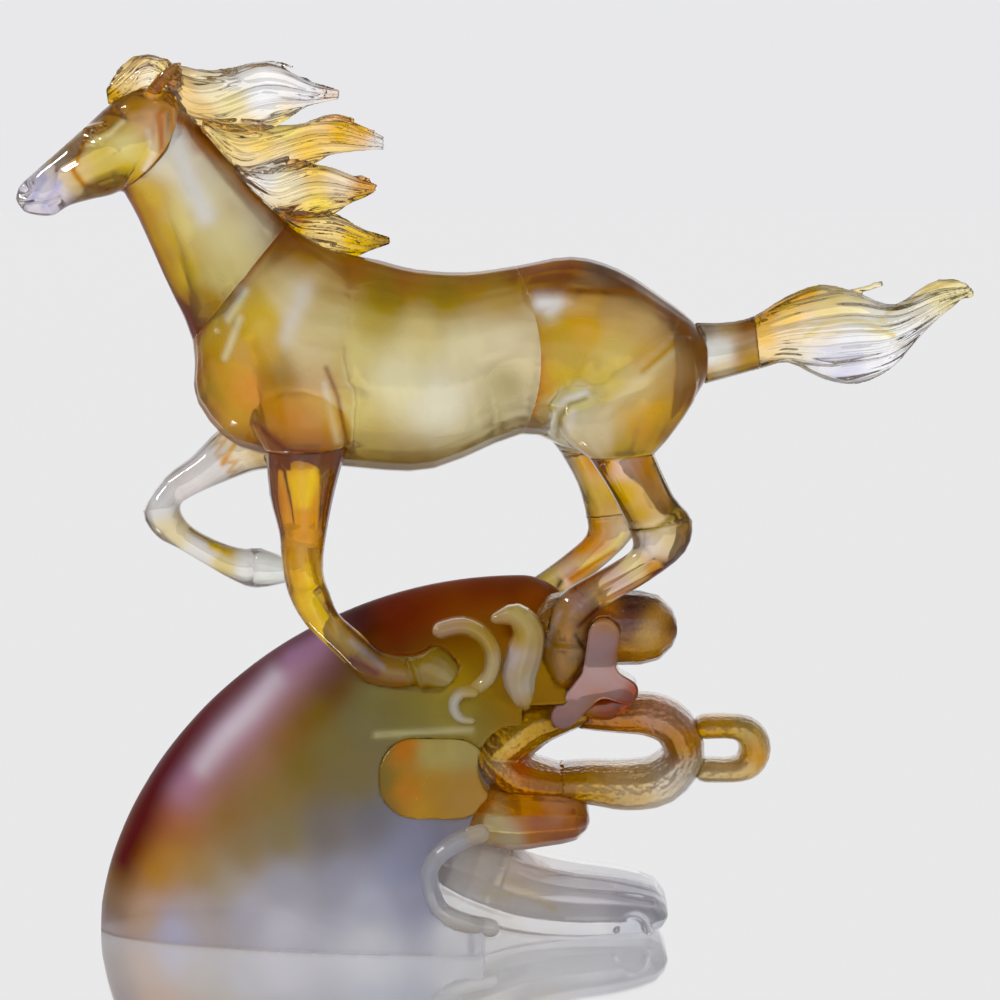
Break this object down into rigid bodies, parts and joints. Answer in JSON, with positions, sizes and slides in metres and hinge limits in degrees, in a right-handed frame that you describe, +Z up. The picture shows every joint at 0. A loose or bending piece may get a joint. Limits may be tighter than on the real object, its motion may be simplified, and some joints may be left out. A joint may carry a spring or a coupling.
{
  "type": "crystal horse statuette",
  "caption": "Galloping horse in coloured cast crystal on a domed base with cloud scrolls, bonded from separate cast pieces.",
  "frame": {"origin": "centre of the bounding box, on the table surface", "axes": "+Z up, the horse faces -X, its left side is -Y"},
  "size_m": [0.305, 0.0955, 0.2813],
  "materials": {
    "maroon_dome": "polished cast crystal",
    "clear_cloud": "polished cast crystal",
    "amber_cloud": "polished cast crystal",
    "gold_loop": "polished cast crystal",
    "mauve_cloud": "polished cast crystal",
    "dark_cloud": "polished cast crystal",
    "gold_head": "polished cast crystal",
    "pale_neck": "polished cast crystal",
    "clear_mane": "polished cast crystal",
    "gold_mane": "polished cast crystal",
    "gold_barrel": "polished cast crystal",
    "amber_quarters": "polished cast crystal",
    "red_amber_leg": "polished cast crystal",
    "clear_leg": "polished cast crystal",
    "amber_leg": "polished cast crystal",
    "pale_dock": "polished cast crystal",
    "amber_tail": "polished cast crystal"
  },
  "bodies": {
    "root": {"base_dome": "maroon_dome", "cloud_foot_lobe": "clear_cloud", "cloud_front_curl": "clear_cloud", "cloud_inlay": "amber_cloud", "cloud_middle_lobe": "amber_cloud", "cloud_hook": "amber_cloud", "cloud_red_lobe": "amber_cloud", "cloud_crest": "amber_cloud", "cloud_hoof_curl": "amber_cloud", "cloud_big_loop": "gold_loop", "cloud_small_ring": "gold_loop", "cloud_star": "mauve_cloud", "cloud_top_knob": "dark_cloud", "head": "gold_head", "forelock": "gold_head", "neck": "pale_neck", "mane_upper": "clear_mane", "mane_middle": "gold_mane", "mane_lower": "gold_mane", "mane_withers": "gold_mane", "trunk_front": "gold_barrel", "hindquarters": "amber_quarters", "left_foreleg": "red_amber_leg", "right_foreleg": "clear_leg", "left_gaskin": "amber_leg", "right_gaskin": "amber_leg", "left_hind_cannon": "amber_leg", "right_hind_cannon": "amber_leg", "tail_dock": "pale_dock", "tail_switch": "amber_tail"}
  },
  "joints": []
}
